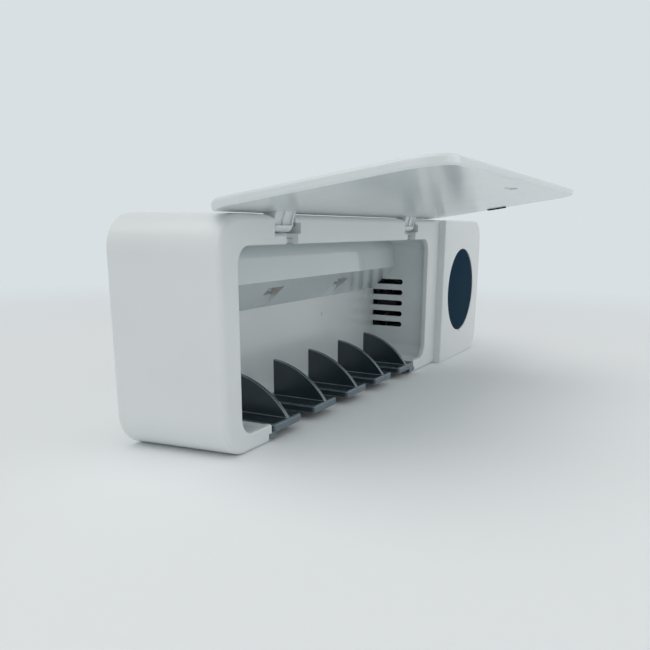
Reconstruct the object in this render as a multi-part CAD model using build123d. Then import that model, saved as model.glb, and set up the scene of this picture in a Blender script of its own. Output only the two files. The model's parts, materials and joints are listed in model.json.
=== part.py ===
"""Wall or table toothbrush sanitizer box.

A long rounded white housing with a brush compartment on its left, a dark comb rack
that hangs the brushes by their necks, a glossy lamp housing with two ultraviolet
lamps, a drying fan behind a slotted partition, and on its right a raised control
module with one large round push button. A flap door on two hinge arms covers the
compartment; it is modelled open, as it stands at rest.

Frame: millimetres, +X along the box towards the control module, +Y towards the wall,
+Z up. The origin is the centre of the rear face, which goes against the wall.
"""
from build123d import *
import math
import os

os.makedirs("parts", exist_ok=True)

# Overall box
length = 288.8
height = 84.0
depth = 44.5
corner_radius = 13.0
front_edge_radius = 2.2
end_taper = 4.5
rear_edge_bevel = 0.6
wall = 2.2
front_wall = 2.4

# Running gaps and seats
seat_gap = 0.15
loose_gap = 0.3
pin_gap = 0.05

# Control module at the right end of the box
module_width = 72.2
module_proud = 4.1
module_edge_radius = 1.0
module_front_wall = 2.2
module_step_wall = 2.0
module_step_round = 0.8
skirt_thickness = 1.2
skirt_length = 3.0

# Round push button
button_from_right = 37.6
button_below_middle = 0.15
button_radius = 25.0
button_hole_gap = 0.3
button_recess = 0.2
button_edge_bevel = 0.4
button_face_thickness = 1.8
button_skirt_thickness = 1.4
button_flange_width = 1.6
button_flange_thickness = 1.0
button_travel = 0.6
button_post_radius = 2.6
button_rib_thickness = 1.2
pry_notch_radius = 1.1
pry_notch_depth = 1.2

# Window of the brush compartment, by its margins to the left end, the control
# module, the underside and the top
window_left_margin = 15.0
window_right_margin = 16.6
window_bottom = 6.9
window_top_margin = 10.7
window_radius = 6.6
window_edge_radius = 0.7

# Compartment liner, by its room beyond the window's edges and behind its back wall
liner_wall = 1.5
liner_left_room = 3.1
liner_right_room = 3.7
liner_top_room = 0.5
liner_floor_drop = 0.1
liner_rear_room = 8.7
liner_radius = 6.0
dimple_radius = 1.0
dimple_depth = 0.3
dimple_right_of_middle = 31.4
dimple_above_base = 35.5

# Vent slots in the partition, level with the fan
slot_count = 5
slot_pitch = 6.22
slot_height = 3.0
slot_length = 19.3

# Lamp housing along the top rear of the compartment
lamp_reach = 14.2
lamp_foot_drop = 29.4
lamp_nose_drop = 16.4
lamp_brow_drop = 6.7
lamp_brow_setback = 1.0
lamp_crown_setback = 5.3
lamp_shell = 1.6
lamp_end_gap = 0.1
lamp_window_spacing = 64.1
lamp_window_shift = 3.9
lamp_window_width = 12.4
lamp_window_start = 5.0
lamp_window_end = 12.6
lamp_ramp_end = 17.2
lamp_recess_depth = 3.2
lamp_ramp_depth = 1.9
lamp_frame = 2.0
led_board_thickness = 1.2
led_board_gap = 0.2
led_size = 3.5
led_height = 1.0
led_lens_radius = 1.3
lamp_screw_spacing = 74.0
lamp_screw_drop = 11.8
lamp_screw_bore = 8.0

# Brush rack and the cut in the housing that it slides in
divider_count = 5
divider_pitch = 31.34
divider_offset = 0.8
divider_thickness = 1.8
divider_rear = 26.0
divider_top = 22.5
divider_tip = 0.1
divider_mid_y = 10.5
divider_mid_z = 16.9
finger_width = 20.9
finger_bottom = 3.2
finger_top = 6.6
finger_corner_radius = 1.6
finger_lip_bevel = 0.5
finger_under_bevel = 0.5
rack_right_of_middle = 0.5
rack_front = -0.6
rack_rear = 27.3
neck_gap_depth = 20.2
rack_side_gap = 1.2
runner_reach = 2.9
runner_root = 3.0
runner_bottom = 1.3
runner_top = 3.3
runner_front = 0.4
groove_side_gap = 0.3
rail_width = 4.6
rail_length = 28.4

# Flap door
door_thickness = 3.3
door_base_gap = 0.3
door_top_gap = 0.3
door_side_gap = 0.3
door_left_inset = 2.0
door_outer_radius = 1.3
door_inner_bevel = 0.5
door_relief = 2.4
door_open_angle = 98.9
grip_length = 14.0
grip_width = 3.0
grip_depth = 0.4
grip_from_edge = 9.0
magnet_length = 10.0
magnet_width = 3.6
magnet_thickness = 1.5
magnet_from_edge = 4.8

# Hinges
left_hinge_from_left = 47.3
right_hinge_from_module = 43.95
hinge_axis_depth = 3.15
hinge_axis_drop = 3.5
pin_radius = 0.8
pocket_width = 18.7
pocket_floor_drop = 6.8
pocket_roof_drop = 2.8
pocket_depth = 6.7
pocket_wall = 1.5
pocket_lip_drop = 1.0
pocket_lip_run = 1.6
arm_width = 13.6
arm_offset = -1.9
arm_side_gap = 0.6
knuckle_radius = 2.9
knuckle_bevel = 1.3
arm_rib_thickness = 1.0
ledge_drop = 3.8
ledge_y = 0.8
web_setback = 0.7
scoop_radius = 25.0
scoop_run = 8.3
relief_slot_depth = 4.4
left_relief_slot = (-1.3, 7.3)
right_relief_slot = (-5.3, 6.1)

# Back cover
cover_thickness = 2.4
keyhole_spacing = 160.0
keyhole_below_top = 30.0
keyhole_entry_radius = 4.0
keyhole_slot_radius = 2.1
keyhole_rise = 8.0
cover_screw_radius = 1.15
cover_screw_hole_gap = 0.25
cover_boss_radius = 3.4
cover_boss_length = 27.0
screw_head_radius = 2.3
screw_head_height = 1.3
screw_head_sunk = 0.1
screw_depth = 9.0
end_screw_inset = 7.2
end_screw_margin = 7.8
middle_screw_inset = 6.2
middle_screw_margin = 5.4

# Fan
fan_size = 30.0
fan_thickness = 8.0
fan_above_base = 36.2
fan_cover_gap = 0.3
fan_corner_radius = 2.0
fan_bore_radius = 14.0
fan_hub_radius = 6.0
fan_boss_thickness = 1.6
fan_strut_width = 1.6
fan_blade_count = 7
fan_blade_tip_gap = 0.5
fan_blade_thickness = 1.0
fan_blade_pitch = 38.0
fan_rotor_length = 5.2
fan_shaft_radius = 0.75
fan_hole_spacing = 24.0
fan_hole_radius = 1.45
fan_post_radius = 1.35
fan_post_end = 0.8

# Electronics of the control module
board_front = 6.5
board_thickness = 1.6
board_right_room = 5.4
board_width = 60.0
board_end_room = 6.0
board_corner_radius = 2.0
board_hole_inset = 3.6
board_boss_radius = 3.0
board_boss_bore_wall = 2.0
small_screw_radius = 1.1
small_screw_length = 6.5
small_head_radius = 2.0
small_head_height = 1.2
small_hole_gap = 0.3
switch_width = 6.0
switch_height = 3.4
plunger_radius = 1.7
plunger_length = 2.0
plunger_showing = 1.0
port_width = 9.0
port_height = 3.2
port_length = 8.0
port_inset = 0.6
port_shell = 0.35
port_back_wall = 1.0
port_tongue = 0.7
port_tongue_width = 6.6
port_tongue_setback = 0.8
port_above_base = 21.0
port_wall_gap = 0.5
sensor_width = 4.0
sensor_depth = 1.5
sensor_tall = 3.0
sensor_board_thickness = 1.0
sensor_board_side = 1.0
sensor_board_end = 2.5
cell_radius = 7.1
cell_length = 50.0
cell_from_right = 27.0
cell_edge_bevel = 0.5
cell_cap_radius = 2.7
cell_cap_height = 0.8
holder_floor = 1.6
holder_wall = 1.6
holder_side_gap = 0.4
holder_room = 2.4
contact_thickness = 0.5
contact_half_width = 4.2
contact_height = 6.6
contact_bump_radius = 2.2
exhaust_slot_count = 8
exhaust_slot_pitch = 5.0
exhaust_slot_width = 2.2
exhaust_slot_length = 20.0
exhaust_from_right = 36.0
exhaust_from_rear = 20.0

# Chips on the main board: right of its middle, above its middle, width, height, thickness
chips = (
    (-16.0, 12.0, 9.0, 9.0, 1.4),
    (-12.0, -14.0, 6.0, 8.0, 1.6),
    (4.0, -22.0, 5.0, 5.0, 2.4),
)

# Places that follow from the sizes above, from the left end, front face and underside
step_from_left = length - module_width
button_from_left = length - button_from_right
window_left = window_left_margin
window_right = step_from_left - window_right_margin
window_middle = (window_left + window_right) / 2
window_top = height - window_top_margin
liner_left = window_left - liner_left_room
liner_right = window_right + liner_right_room
liner_floor = window_bottom - liner_floor_drop
liner_ceiling = window_top + liner_top_room
liner_back = depth - liner_rear_room
slot_rear = liner_back
slot_front = liner_back - slot_length
slot_middle_z = fan_above_base
lamp_nose_y = liner_back - lamp_reach
lamp_brow_y = lamp_nose_y + lamp_brow_setback
lamp_crown_y = lamp_nose_y + lamp_crown_setback
lamp_foot_z = liner_ceiling - lamp_foot_drop
lamp_nose_z = liner_ceiling - lamp_nose_drop
lamp_brow_z = liner_ceiling - lamp_brow_drop
lamp_screw_z = liner_ceiling - lamp_screw_drop
lamp_window_centres = (
    window_middle + lamp_window_shift - lamp_window_spacing / 2,
    window_middle + lamp_window_shift + lamp_window_spacing / 2,
)
lamp_screw_positions = (
    window_middle - lamp_screw_spacing,
    window_middle,
    window_middle + lamp_screw_spacing,
)
first_finger = window_middle + rack_right_of_middle - divider_pitch * (divider_count - 1) / 2
hinge_centres = (left_hinge_from_left, step_from_left - right_hinge_from_module)
relief_slots = (left_relief_slot, right_relief_slot)
pocket_bottom = height - pocket_floor_drop
pocket_roof = height - pocket_roof_drop
ledge_z = height - ledge_drop
door_height = height - door_base_gap - door_top_gap
keyhole_above_base = height - keyhole_below_top
middle_screw_from_left = step_from_left - middle_screw_inset
cover_screw_points = (
    (end_screw_inset, end_screw_margin),
    (end_screw_inset, height - end_screw_margin),
    (middle_screw_from_left, middle_screw_margin),
    (middle_screw_from_left, height - middle_screw_margin),
    (length - end_screw_inset, end_screw_margin),
    (length - end_screw_inset, height - end_screw_margin),
)
fan_centre_y = depth - cover_thickness - fan_cover_gap - fan_size / 2
fan_centre_z = fan_above_base
board_height = height - 2 * board_end_room
board_from_left = length - board_right_room - board_width / 2
cell_from_left = length - cell_from_right

# Places in the frame of the part
left_x = -length / 2
right_x = length / 2
front_y = -depth
base_z = -height / 2
top_z = height / 2
step_x = left_x + step_from_left
module_front_y = front_y - module_proud
hinge_y = front_y + hinge_axis_depth
hinge_z = top_z - hinge_axis_drop
hinge_axis = Axis((0, hinge_y, hinge_z), (1, 0, 0))
half_fan = fan_size / 2
slant_run = liner_back - lamp_nose_y
slant_drop = lamp_nose_z - lamp_foot_z
slant_angle = math.degrees(math.atan2(slant_drop, slant_run))


def block(x0, x1, y0, y1, z0, z1):
    """A box between two corners."""
    centre = ((x0 + x1) / 2, (y0 + y1) / 2, (z0 + z1) / 2)
    return Pos(*centre) * Box(x1 - x0, y1 - y0, z1 - z0)


def slab(x0, x1, z0, z1, radius, y0, y1):
    """A rounded rectangle seen from the front, between two depths."""
    plane = Plane(
        origin=((x0 + x1) / 2, y1, (z0 + z1) / 2), x_dir=(1, 0, 0), z_dir=(0, -1, 0)
    )
    outline = RectangleRounded(x1 - x0, z1 - z0, radius)
    return extrude(plane * outline, y1 - y0)


def left_end(y):
    """Where the tapered left end stands at one depth."""
    return left_x - end_taper * y / depth


def whole_outline(inset, y):
    """The whole box's outline at one depth, a constant distance in from its outer faces."""
    x0, x1 = left_end(y) + inset, right_x - inset
    plane = Plane(origin=((x0 + x1) / 2, y, 0), x_dir=(1, 0, 0), z_dir=(0, -1, 0))
    return plane * RectangleRounded(x1 - x0, height - 2 * inset, corner_radius - inset)


def tapered_slab(inset, y0, y1):
    """A block between two depths that follows the tapered left end."""
    return loft([whole_outline(inset, y0), whole_outline(inset, y1)], ruled=True)


def whole_box(y0, y1):
    """The whole box between two depths: the left end tapered, the other sides flat."""
    x1 = left_end(y0) + corner_radius + wall
    tapered_part = block(left_x - 1, x1, y0 - 1, y1 + 1, base_z - 1, top_z + 1)
    straight_part = block(x1, right_x + 1, y0 - 1, y1 + 1, base_z - 1, top_z + 1)
    straight = slab(left_x, right_x, base_z, top_z, corner_radius, y0, y1)
    return (tapered_slab(0, y0, y1) & tapered_part) + (straight & straight_part)


def side_profile(outline, x0, x1):
    """A closed outline drawn in (Y, Z), run along X."""
    plane = Plane(origin=(x0, 0, 0), x_dir=(0, 1, 0), z_dir=(1, 0, 0))
    return extrude(plane * outline, x1 - x0, dir=(1, 0, 0))


def rod_x(y, z, radius, x0, x1):
    return Pos((x0 + x1) / 2, y, z) * Rot(0, 90, 0) * Cylinder(radius, x1 - x0)


def rod_y(x, z, radius, y0, y1):
    return Pos(x, (y0 + y1) / 2, z) * Rot(90, 0, 0) * Cylinder(radius, y1 - y0)


def rod_z(x, y, radius, z0, z1):
    return Pos(x, y, (z0 + z1) / 2) * Cylinder(radius, z1 - z0)


def write(name, shape):
    export_step(Compound(children=list(shape.solids())), f"parts/{name}.step")


# Main housing
def pocket_limits(centre):
    """Left and right wall of one hinge pocket."""
    middle = left_x + centre
    return middle - pocket_width / 2, middle + pocket_width / 2


def arm_limits(centre):
    """Left and right end of one hinge arm."""
    middle = left_x + centre + arm_offset
    return middle - arm_width / 2, middle + arm_width / 2


rack_left = left_x + first_finger - finger_width / 2
rack_right = rack_left + divider_pitch * (divider_count - 1) + finger_width
cut_left = rack_left - rack_side_gap
cut_right = rack_right + rack_side_gap


def housing_shell():
    blank = whole_box(front_y, -rear_edge_bevel)
    blank = blank + loft(
        [whole_outline(0, -rear_edge_bevel), whole_outline(rear_edge_bevel, 0)], ruled=True
    )
    front_edges = blank.faces().sort_by(Axis.Y)[0].edges()
    rounded = fillet(front_edges, front_edge_radius)
    frame_side = rounded & block(left_x, step_x, front_y, 0, base_z, top_z)
    module_side = blank & block(step_x, right_x, front_y, 0, base_z, top_z)
    inside = tapered_slab(wall, front_y - 1, 1)
    frame_room = block(left_x, step_x + module_step_wall, front_y + front_wall, 1, base_z, top_z)
    module_room = block(step_x + module_step_wall, right_x, front_y - 1, 1, base_z, top_z)
    return frame_side + module_side - (inside & frame_room) - (inside & module_room)


def cut_window(shell):
    opening = slab(
        left_x + window_left,
        left_x + window_right,
        base_z + window_bottom,
        base_z + window_top,
        window_radius,
        front_y - 1,
        front_y + front_wall + 0.5,
    )
    shell = shell - opening
    rim = shell.edges().filter_by_position(Axis.Y, front_y - 0.01, front_y + 0.01)
    rim = rim.filter_by_position(Axis.X, left_x + window_left - 0.1, left_x + window_right + 0.1)
    rim = rim.filter_by_position(Axis.Z, base_z + window_bottom - 0.1, base_z + window_top + 0.1)
    return fillet(rim, window_edge_radius)


def hinge_pocket(shell, centre, relief_slot):
    """A pocket behind the frame's top edge, open above and in front for the hinge arm."""
    x0, x1 = pocket_limits(centre)
    arm_x0, arm_x1 = arm_limits(centre)
    bottom = base_z + pocket_bottom
    roof = base_z + pocket_roof
    pocket_back = front_y + pocket_depth
    shell = shell + block(
        x0 - pocket_wall,
        x1 + pocket_wall,
        front_y + front_wall / 2,
        pocket_back + pocket_wall,
        base_z + liner_ceiling + liner_wall + seat_gap,
        top_z - wall / 2,
    )
    shell = shell - block(x0, x1, front_y - 1, pocket_back, bottom, roof)
    notch_x1 = arm_x1 + arm_side_gap
    shell = shell - block(x0, notch_x1, front_y - 1, pocket_back, bottom, top_z + 1)
    scoop_x = x0 - scoop_run
    corner = block(scoop_x, x0 + 0.1, front_y - 1, pocket_back, roof, top_z + 1)
    bow = rod_y(scoop_x, top_z - scoop_radius, scoop_radius, front_y - 2, pocket_back + 1)
    shell = shell - (corner - bow)
    lip = side_profile(
        Polygon(
            (front_y - 0.01, bottom - pocket_lip_drop),
            (front_y - 0.01, bottom + 0.01),
            (front_y + pocket_lip_run, bottom + 0.01),
            align=None,
        ),
        x0,
        notch_x1,
    )
    shell = shell - lip
    slot_x = left_x + centre
    shell = shell - block(
        slot_x + relief_slot[0],
        slot_x + relief_slot[1],
        front_y - 1,
        front_y + relief_slot_depth,
        base_z + window_top - 1,
        bottom + 0.1,
    )
    return shell - rod_x(hinge_y, hinge_z, pin_radius + 0.02, x0 - 2 * pocket_wall, x1 + 2 * pocket_wall)


def rack_cut(shell):
    """The rim and floor are open under the rack, between two grooved rails."""
    for x0, x1 in ((cut_left - rail_width, cut_left), (cut_right, cut_right + rail_width)):
        shell = shell + block(
            x0,
            x1,
            front_y + front_wall / 2,
            front_y + rail_length,
            base_z + wall / 2,
            base_z + liner_floor - seat_gap,
        )
    shell = shell - block(
        cut_left, cut_right, front_y - 1, front_y + rail_length, base_z - 1, base_z + window_bottom + 3
    )
    reach = runner_reach + groove_side_gap
    return shell - block(
        rack_left - reach,
        rack_right + reach,
        front_y - 1,
        front_y + rack_rear + 0.4,
        base_z + runner_bottom - groove_side_gap,
        base_z + runner_top + groove_side_gap,
    )


def cover_bosses(shell):
    inner = tapered_slab(wall / 2, front_y, 0)
    liner_skin = liner_wall + loose_gap
    liner_room = slab(
        left_x + liner_left - liner_skin,
        left_x + liner_right + liner_skin,
        base_z + liner_floor - liner_skin,
        base_z + liner_ceiling + liner_skin,
        liner_radius + liner_skin,
        front_y,
        front_y + liner_back + liner_skin,
    )
    for along, above in cover_screw_points:
        x, z = left_x + along, base_z + above
        boss = rod_y(x, z, cover_boss_radius, -cover_thickness - cover_boss_length, -cover_thickness)
        shell = shell + ((boss & inner) - liner_room)
    for along, above in cover_screw_points:
        x, z = left_x + along, base_z + above
        shell = shell - rod_y(
            x, z, cover_screw_radius + pin_gap, -cover_thickness - screw_depth, 1
        )
    return shell


def port_opening():
    half_z = port_width / 2 + port_wall_gap
    port_y = front_y + board_front + board_thickness + port_height / 2
    half_y = port_height / 2 + port_wall_gap
    cutter = block(
        right_x - wall - 1,
        right_x + 1,
        port_y - half_y,
        port_y + half_y,
        base_z + port_above_base - half_z,
        base_z + port_above_base + half_z,
    )
    return fillet(cutter.edges().filter_by(Axis.X), half_y - 0.2)


def exhaust_slots():
    first = right_x - exhaust_from_right - exhaust_slot_pitch * (exhaust_slot_count - 1) / 2
    mid_y = -exhaust_from_rear
    slots = []
    for number in range(exhaust_slot_count):
        x = first + exhaust_slot_pitch * number
        plane = Plane(origin=(x, mid_y, base_z - 1), x_dir=(0, 1, 0), z_dir=(0, 0, 1))
        slots.append(extrude(plane * SlotOverall(exhaust_slot_length, exhaust_slot_width), wall + 2))
    return slots


def make_main_housing():
    shell = cut_window(housing_shell())
    for centre, relief_slot in zip(hinge_centres, relief_slots):
        shell = hinge_pocket(shell, centre, relief_slot)
    shell = rack_cut(shell)
    shell = cover_bosses(shell)
    shell = shell - port_opening()
    for slot in exhaust_slots():
        shell = shell - slot
    return shell


# Back cover and its screws
def make_back_cover():
    cover = tapered_slab(wall + seat_gap, -cover_thickness, 0)
    for along, above in cover_screw_points:
        x, z = left_x + along, base_z + above
        cover = cover - rod_y(x, z, cover_screw_radius + cover_screw_hole_gap, -cover_thickness - 1, 1)
        cover = cover - rod_y(x, z, screw_head_radius + 0.2, -screw_head_height - screw_head_sunk, 1)
    for side in (-1, 1):
        x = side * keyhole_spacing / 2
        z = base_z + keyhole_above_base
        cover = cover - rod_y(x, z, keyhole_entry_radius, -cover_thickness - 1, 1)
        cover = cover - rod_y(x, z + keyhole_rise, keyhole_slot_radius, -cover_thickness - 1, 1)
        cover = cover - block(
            x - keyhole_slot_radius,
            x + keyhole_slot_radius,
            -cover_thickness - 1,
            1,
            z,
            z + keyhole_rise,
        )
    return cover


def rear_screw(x, z, seat_y, radius, head_radius, head_height, shank):
    """A flat-headed screw driven forwards, its head seated on the plane seat_y."""
    return rod_y(x, z, radius, seat_y - shank, seat_y) + rod_y(x, z, head_radius, seat_y, seat_y + head_height)


def small_screw(x, z, seat_y):
    return rear_screw(
        x, z, seat_y, small_screw_radius, small_head_radius, small_head_height, small_screw_length
    )


def make_cover_screws():
    screws = []
    for along, above in cover_screw_points:
        screws.append(
            rear_screw(
                left_x + along,
                base_z + above,
                -screw_head_height - screw_head_sunk,
                cover_screw_radius,
                screw_head_radius,
                screw_head_height,
                screw_depth - 0.5,
            )
        )
    return Compound(children=[solid for screw in screws for solid in screw.solids()])


# Control module cover and its round button
button_x = left_x + button_from_left
button_z = -button_below_middle
module_inner_y = module_front_y + module_front_wall


def make_control_cover():
    full = slab(left_x, right_x, base_z, top_z, corner_radius, module_front_y, front_y)
    front_edges = full.faces().sort_by(Axis.Y)[0].edges()
    full = fillet(front_edges, module_edge_radius)
    cover = full & block(step_x, right_x, module_front_y, front_y, base_z, top_z)
    left_edge = cover.edges().filter_by(Axis.Z).filter_by_position(
        Axis.X, step_x - 0.01, step_x + 0.01
    )
    cover = fillet(left_edge.sort_by(Axis.Y)[0], module_step_round)
    inside = slab(
        left_x,
        right_x - wall,
        base_z + wall,
        top_z - wall,
        corner_radius - wall,
        module_inner_y,
        front_y + 1,
    )
    room = block(step_x + module_step_wall, right_x, module_inner_y, front_y + 1, base_z, top_z)
    cover = cover - (inside & room)
    cover = cover + module_skirt()
    for x, z in board_hole_points():
        cover = cover + rod_y(x, z, board_boss_radius, module_inner_y - 0.5, front_y + board_front)
    for x, z in board_hole_points():
        cover = cover - rod_y(
            x,
            z,
            small_screw_radius + pin_gap,
            module_inner_y + board_boss_bore_wall,
            front_y + board_front + 1,
        )
    hole = rod_y(button_x, button_z, button_radius + button_hole_gap, module_front_y - 1, front_y - 0.5)
    notch_z = button_z - button_radius - button_hole_gap
    notch = rod_y(button_x, notch_z, pry_notch_radius, module_front_y - 1, module_front_y + pry_notch_depth)
    return cover - hole - notch


def module_skirt():
    """The lip that centres the cover inside the housing's front rim."""
    inset = wall + seat_gap
    lip_y0 = module_inner_y - 0.5
    lip_y1 = front_y + skirt_length
    outer = slab(
        left_x, right_x - inset, base_z + inset, top_z - inset, corner_radius - inset, lip_y0, lip_y1
    )
    deeper = inset + skirt_thickness
    inner = slab(
        left_x,
        right_x - deeper,
        base_z + deeper,
        top_z - deeper,
        corner_radius - deeper,
        lip_y0 - 1,
        lip_y1 + 1,
    )
    zone_x = step_x + module_step_wall + 1.5
    ring = (outer - inner) & block(zone_x, right_x, lip_y0, lip_y1, base_z, top_z)
    return ring


def board_hole_points():
    half_x = board_width / 2 - board_hole_inset
    half_z = board_height / 2 - board_hole_inset
    middle = left_x + board_from_left
    return [(middle + sx * half_x, sz * half_z) for sx in (-1, 1) for sz in (-1, 1)]


button_face_y = module_front_y + button_recess
switch_face_y = front_y + board_front - switch_height
plunger_tip_y = switch_face_y - plunger_showing


def make_button():
    body = rod_y(button_x, button_z, button_radius, button_face_y, module_inner_y + button_flange_thickness)
    flange = rod_y(
        button_x,
        button_z,
        button_radius + button_flange_width,
        module_inner_y,
        module_inner_y + button_flange_thickness,
    )
    rim = body.edges().filter_by(GeomType.CIRCLE).sort_by(Axis.Y)[0]
    body = chamfer(rim, button_edge_bevel)
    hollow = rod_y(
        button_x,
        button_z,
        button_radius - button_skirt_thickness,
        button_face_y + button_face_thickness,
        module_inner_y + button_flange_thickness + 1,
    )
    cap = body + flange - hollow
    rib_y0 = button_face_y + button_face_thickness - 0.2
    rib_y1 = module_inner_y + button_flange_thickness
    half_rib = button_rib_thickness / 2
    reach = button_radius - button_skirt_thickness + 0.3
    cap = cap + block(button_x - reach, button_x + reach, rib_y0, rib_y1, button_z - half_rib, button_z + half_rib)
    cap = cap + block(button_x - half_rib, button_x + half_rib, rib_y0, rib_y1, button_z - reach, button_z + reach)
    return cap + rod_y(button_x, button_z, button_post_radius, rib_y0, plunger_tip_y)


def make_switch_plunger():
    return rod_y(button_x, button_z, plunger_radius, plunger_tip_y, plunger_tip_y + plunger_length)


def make_tact_switch():
    half = switch_width / 2
    body = block(
        button_x - half,
        button_x + half,
        switch_face_y,
        front_y + board_front,
        button_z - half,
        button_z + half,
    )
    bore_y = plunger_tip_y + plunger_length + button_travel + 0.1
    return body - rod_y(button_x, button_z, plunger_radius + pin_gap, switch_face_y - 1, bore_y)


# Circuit board, charging port, sensor and battery
board_back_y = front_y + board_front + board_thickness


def make_main_board():
    middle = left_x + board_from_left
    board = slab(
        middle - board_width / 2,
        middle + board_width / 2,
        -board_height / 2,
        board_height / 2,
        board_corner_radius,
        front_y + board_front,
        board_back_y,
    )
    for x, z in board_hole_points():
        board = board - rod_y(x, z, small_screw_radius + small_hole_gap, front_y, 0)
    for right, z, across, tall, thick in chips:
        board = board + block(
            middle + right - across / 2,
            middle + right + across / 2,
            board_back_y - 0.1,
            board_back_y + thick,
            z - tall / 2,
            z + tall / 2,
        )
    return board


def make_board_screws():
    screws = [small_screw(x, z, board_back_y) for x, z in board_hole_points()]
    return Compound(children=[solid for screw in screws for solid in screw.solids()])


def make_charging_port():
    x1 = right_x - port_inset
    x0 = x1 - port_length
    y = board_back_y + port_height / 2
    z = base_z + port_above_base

    def tube(width, tall, start, end):
        body = block(start, end, y - tall / 2, y + tall / 2, z - width / 2, z + width / 2)
        return fillet(body.edges().filter_by(Axis.X), tall / 2 - 0.05)

    shell = tube(port_width, port_height, x0, x1)
    bore = tube(port_width - 2 * port_shell, port_height - 2 * port_shell, x0 + port_back_wall, x1 + 1)
    tongue = block(
        x0 + port_back_wall / 2,
        x1 - port_tongue_setback,
        y - port_tongue / 2,
        y + port_tongue / 2,
        z - port_tongue_width / 2,
        z + port_tongue_width / 2,
    )
    return shell - bore + tongue


def make_door_sensor():
    """A small magnet sensor behind the frame, opposite the door magnet."""
    x = step_x - door_side_gap - magnet_from_edge
    y0 = front_y + front_wall
    y1 = y0 + sensor_depth
    half_width = sensor_width / 2
    half_tall = sensor_tall / 2
    chip = block(x - half_width, x + half_width, y0, y1, -half_tall, half_tall)
    side = half_width + sensor_board_side
    end = half_tall + sensor_board_end
    return chip + block(x - side, x + side, y1, y1 + sensor_board_thickness, -end, end)


cell_x = left_x + cell_from_left
cell_y = -cover_thickness - holder_floor - cell_radius - 0.1


def make_battery():
    top = cell_length / 2
    cell = rod_z(cell_x, cell_y, cell_radius, -top, top - cell_cap_height)
    cell = chamfer(cell.edges().filter_by(GeomType.CIRCLE), cell_edge_bevel)
    return cell + rod_z(cell_x, cell_y, cell_cap_radius, top - cell_cap_height - 0.2, top)


def make_battery_holder():
    half_x = cell_radius + holder_side_gap + holder_wall
    half_z = cell_length / 2 + holder_room + holder_wall
    tray = block(
        cell_x - half_x, cell_x + half_x, cell_y, -cover_thickness, -half_z, half_z
    )
    tray = tray - block(
        cell_x - half_x + holder_wall,
        cell_x + half_x - holder_wall,
        cell_y - 1,
        -cover_thickness - holder_floor,
        -half_z + holder_wall,
        half_z - holder_wall,
    )
    return tray


def make_battery_contacts():
    inner_z = cell_length / 2 + holder_room
    plates = []
    for side in (-1, 1):
        near = side * (inner_z - contact_thickness)
        far = side * inner_z
        plate = block(
            cell_x - contact_half_width,
            cell_x + contact_half_width,
            cell_y + 0.2,
            cell_y + contact_height,
            min(near, far),
            max(near, far),
        )
        button_near = side * cell_length / 2
        low, high = min(button_near, near), max(button_near, near)
        bump = rod_z(cell_x, cell_y + contact_bump_radius + 0.3, contact_bump_radius, low, high)
        plates.append(plate + bump)
    return Compound(children=[solid for plate in plates for solid in plate.solids()])


# Compartment liner
def slot_heights():
    first = base_z + slot_middle_z - slot_pitch * (slot_count - 1) / 2
    return [first + slot_pitch * number for number in range(slot_count)]


def fan_post_points():
    half = fan_hole_spacing / 2
    y = front_y + fan_centre_y
    z = base_z + fan_centre_z
    return [(y - half, z - half), (y - half, z + half)]


liner_outer_x = left_x + liner_right + liner_wall


def make_liner():
    outer = slab(
        left_x + liner_left - liner_wall,
        liner_outer_x,
        base_z + liner_floor - liner_wall,
        base_z + liner_ceiling + liner_wall,
        liner_radius + liner_wall,
        front_y + front_wall,
        front_y + liner_back + liner_wall,
    )
    inner = slab(
        left_x + liner_left,
        left_x + liner_right,
        base_z + liner_floor,
        base_z + liner_ceiling,
        liner_radius,
        front_y,
        front_y + liner_back,
    )
    liner = outer - inner
    liner = liner - block(
        cut_left - rail_width - loose_gap,
        cut_right + rail_width + loose_gap,
        front_y,
        front_y + rail_length + loose_gap,
        base_z,
        base_z + liner_floor + 0.5,
    )
    for centre, relief_slot in zip(hinge_centres, relief_slots):
        liner = liner - block(
            left_x + centre + relief_slot[0] - seat_gap,
            left_x + centre + relief_slot[1] + seat_gap,
            front_y,
            front_y + relief_slot_depth,
            base_z + liner_ceiling - 0.5,
            base_z + liner_ceiling + liner_wall + 1,
        )
    for z in slot_heights():
        reach = slot_height / 2
        cutter = block(
            liner_outer_x - liner_wall - 1,
            liner_outer_x + 1,
            front_y + slot_front + reach,
            front_y + slot_rear,
            z - reach,
            z + reach,
        )
        cutter = cutter + rod_x(
            front_y + slot_front + reach, z, reach, liner_outer_x - liner_wall - 1, liner_outer_x + 1
        )
        liner = liner - cutter
    for y, z in fan_post_points():
        liner = liner + rod_x(
            y, z, fan_post_radius, liner_outer_x - 0.3, liner_outer_x + fan_thickness + fan_post_end
        )
    dimple_y = front_y + liner_back
    liner = liner - rod_y(
        left_x + window_middle + dimple_right_of_middle,
        base_z + dimple_above_base,
        dimple_radius,
        dimple_y - 1,
        dimple_y + dimple_depth,
    )
    for along in lamp_screw_positions:
        liner = liner - rod_y(
            left_x + along, base_z + lamp_screw_z, small_screw_radius + small_hole_gap, dimple_y - 1, 0
        )
    return liner


# Lamp housing
def slant_plane(along):
    """Local frame on the slanted face: X along the box, Y down the slope, Z outwards."""
    down = (0, math.cos(math.radians(slant_angle)), -math.sin(math.radians(slant_angle)))
    out = (0, down[2], -down[1])
    nose = (left_x + along, front_y + lamp_nose_y, base_z + lamp_nose_z)
    return Plane(origin=nose, x_dir=(-1, 0, 0), z_dir=out)


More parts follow.
